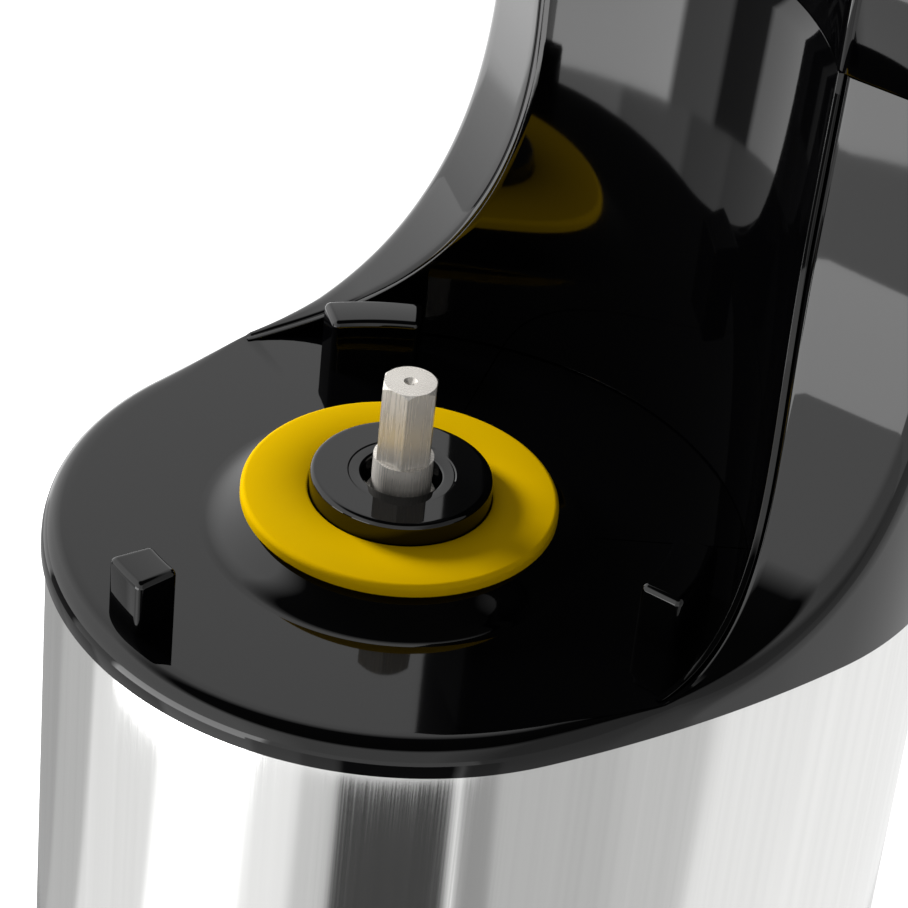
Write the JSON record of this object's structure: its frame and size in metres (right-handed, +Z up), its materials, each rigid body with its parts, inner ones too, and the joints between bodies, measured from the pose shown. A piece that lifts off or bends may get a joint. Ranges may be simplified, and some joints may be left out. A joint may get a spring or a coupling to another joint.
{
  "type": "cold press juicer base",
  "caption": "Drive base of an upright cold press juicer: gloss black deck and column, hexagonal drive shaft, silicone ring, bayonet lugs, brushed steel body and geared motor.",
  "frame": {"origin": "middle of the footprint, on the surface that the feet stand on", "axes": "+Z up, +Y towards the column at the rear, +X to the right when looking from the front"},
  "size_m": [0.174, 0.2288, 0.35],
  "materials": {
    "black_gloss": "gloss moulded",
    "black_matt": "fine textured moulding",
    "brushed_steel": "vertical brushed",
    "yellow_silicone": "satin silicone",
    "black_rubber": "matt rubber",
    "shaft_steel": "nickel plated, ground",
    "gear_plastic": "natural acetal",
    "gear_steel": "hobbed steel",
    "bronze": "sintered bushing",
    "zinc_steel": "bright zinc",
    "aluminium": "die cast",
    "lamination": "stacked lamination",
    "copper": "enamelled copper winding",
    "board": "printed board",
    "can": "moulded can"
  },
  "bodies": {
    "frame": {"upper_housing": "black_gloss", "column_front_panel": "black_gloss", "column_cap": "black_gloss", "steel_sleeve": "brushed_steel", "base_pan": "black_matt", "rubber_feet": "black_rubber", "cord_gland": "black_rubber", "switch_frame": "black_matt", "seal_ring": "yellow_silicone", "hub_collar": "black_gloss", "shaft_seal": "black_rubber", "upper_bush": "bronze", "lower_bush": "bronze", "intermediate_axle": "zinc_steel", "gearbox_base": "aluminium", "gearbox_cover": "aluminium", "gearbox_screws": "zinc_steel", "stator_core": "lamination", "stator_coils": "copper", "motor_top_bracket": "aluminium", "motor_bottom_bracket": "aluminium", "motor_bearings": "zinc_steel", "circuit_board": "board", "run_capacitor": "can", "motor_bolts": "zinc_steel", "tie_rods": "zinc_steel"},
    "drive": {"drive_shaft": "shaft_steel", "output_gear": "gear_plastic", "circlip": "zinc_steel"},
    "idler": {"intermediate_gear": "gear_plastic", "intermediate_pinion": "gear_steel"},
    "rotor": {"motor_pinion": "gear_steel", "motor_shaft": "zinc_steel", "rotor_core": "lamination", "cooling_fan": "black_matt"},
    "rocker": {"switch_rocker": "black_gloss"}
  },
  "joints": [
    {"name": "rotor_spin", "type": "hinge", "parent": "frame", "child": "rotor", "pos_m": [0, 0.0076, 0.096], "axis": [0, 0, 1], "continuous": true},
    {"name": "idler_spin", "type": "hinge", "parent": "frame", "child": "idler", "pos_m": [0.036, 0.00785, 0.15], "axis": [0, 0, 1], "continuous": true},
    {"name": "drive_spin", "type": "hinge", "parent": "frame", "child": "drive", "pos_m": [0, -0.0324, 0.18], "axis": [0, 0, 1], "continuous": true},
    {"name": "rocker_tilt", "type": "hinge", "parent": "frame", "child": "rocker", "pos_m": [0, 0.1094, 0.24], "axis": [1, 0, 0], "range_deg": [-12, 12]}
  ],
  "couplings": [
    {"joint": "idler_spin", "follows": "rotor_spin", "ratio": -0.2},
    {"joint": "drive_spin", "follows": "rotor_spin", "ratio": 0.04}
  ]
}
